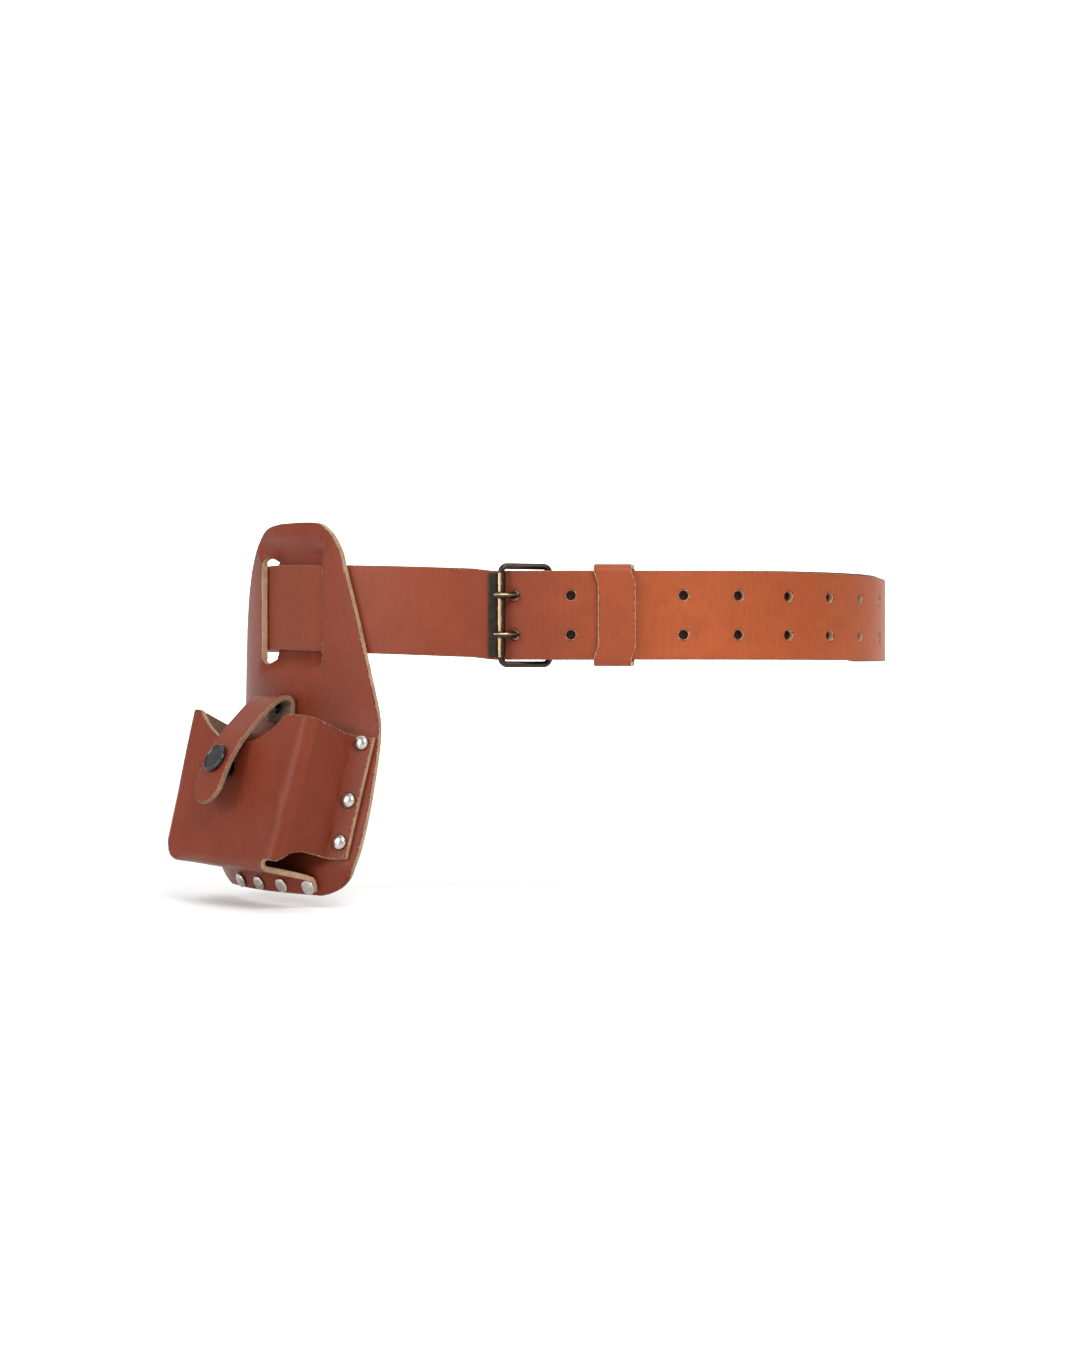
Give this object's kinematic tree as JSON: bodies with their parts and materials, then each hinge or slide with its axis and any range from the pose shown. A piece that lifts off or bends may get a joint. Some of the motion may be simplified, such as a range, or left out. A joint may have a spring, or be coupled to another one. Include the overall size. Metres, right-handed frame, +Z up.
{
  "type": "leather tool belt",
  "caption": "Leather work belt closed by a prong roller buckle, with a keeper and a riveted tape pouch hung from it on a slotted back plate with a snap strap.",
  "frame": {"origin": "centre of the closed waist loop, at mid height of the belt's front run", "axes": "+X across the front towards the wearer's left, where the belt's tail points; -Y out of the front of the belt, +Y towards the wearer's back; +Z up"},
  "size_m": [0.4327, 0.2165, 0.2131],
  "materials": {
    "belt_leather": "satin waxed",
    "pouch_leather": "satin waxed",
    "buckle_bronze": "antique bronze plated",
    "rivet_nickel": "nickel plated",
    "snap_black": "gloss black enamel"
  },
  "bodies": {
    "belt": {"belt_strap": "belt_leather", "fold_rivet_1": "rivet_nickel", "fold_rivet_1_burr": "rivet_nickel", "fold_rivet_2": "rivet_nickel", "fold_rivet_2_burr": "rivet_nickel"},
    "buckle": {"buckle_frame": "buckle_bronze"},
    "roller": {"buckle_roller": "buckle_bronze"},
    "prong_upper": {"prong_upper": "buckle_bronze"},
    "prong_lower": {"prong_lower": "buckle_bronze"},
    "keeper": {"keeper_loop": "pouch_leather"},
    "pouch": {"back_plate": "pouch_leather", "pouch_shell": "pouch_leather", "side_rivet_near_1": "rivet_nickel", "side_rivet_near_1_burr": "rivet_nickel", "side_rivet_near_2": "rivet_nickel", "side_rivet_near_2_burr": "rivet_nickel", "side_rivet_near_3": "rivet_nickel", "side_rivet_near_3_burr": "rivet_nickel", "side_rivet_far_1": "rivet_nickel", "side_rivet_far_1_burr": "rivet_nickel", "side_rivet_far_2": "rivet_nickel", "side_rivet_far_2_burr": "rivet_nickel", "side_rivet_far_3": "rivet_nickel", "side_rivet_far_3_burr": "rivet_nickel", "tab_rivet_1": "rivet_nickel", "tab_rivet_1_burr": "rivet_nickel", "tab_rivet_2": "rivet_nickel", "tab_rivet_2_burr": "rivet_nickel", "tab_rivet_3": "rivet_nickel", "tab_rivet_3_burr": "rivet_nickel", "tab_rivet_4": "rivet_nickel", "tab_rivet_4_burr": "rivet_nickel", "strap_root": "pouch_leather", "strap_rivet": "buckle_bronze", "strap_rivet_burr": "buckle_bronze", "snap_stud": "rivet_nickel", "snap_post": "rivet_nickel"},
    "flap": {"strap_flap": "pouch_leather", "snap_cap": "snap_black", "snap_socket": "rivet_nickel"}
  },
  "joints": [
    {"name": "buckle_turn", "type": "hinge", "parent": "belt", "child": "buckle", "pos_m": [-0.012, -0.1323, 0], "axis": [0, 0, 1], "range_deg": [0, 1.5]},
    {"name": "roller_turn", "type": "hinge", "parent": "buckle", "child": "roller", "pos_m": [-0.0391, -0.1417, 0], "axis": [0, 0, 1], "range_deg": [0, 6]},
    {"name": "prong_upper_turn", "type": "hinge", "parent": "buckle", "child": "prong_upper", "pos_m": [-0.012, -0.1323, 0], "axis": [0, 0, 1], "range_deg": [0, 2]},
    {"name": "prong_lower_turn", "type": "hinge", "parent": "buckle", "child": "prong_lower", "pos_m": [-0.012, -0.1323, 0], "axis": [0, 0, 1], "range_deg": [0, 2]},
    {"name": "keeper_slide", "type": "slide", "parent": "belt", "child": "keeper", "axis": [1, 0, 0], "range_m": [-0.002, 0.018]},
    {"name": "pouch_slide", "type": "hinge", "parent": "belt", "child": "pouch", "pos_m": [-0.0547, 0.0044, 0], "axis": [0, 0, 1], "range_deg": [-8, 8]},
    {"name": "flap_open", "type": "hinge", "parent": "pouch", "child": "flap", "pos_m": [-0.17605, -0.10037, -0.04657], "axis": [-0.6652, 0.7466, 0], "range_deg": [0, 95]}
  ]
}
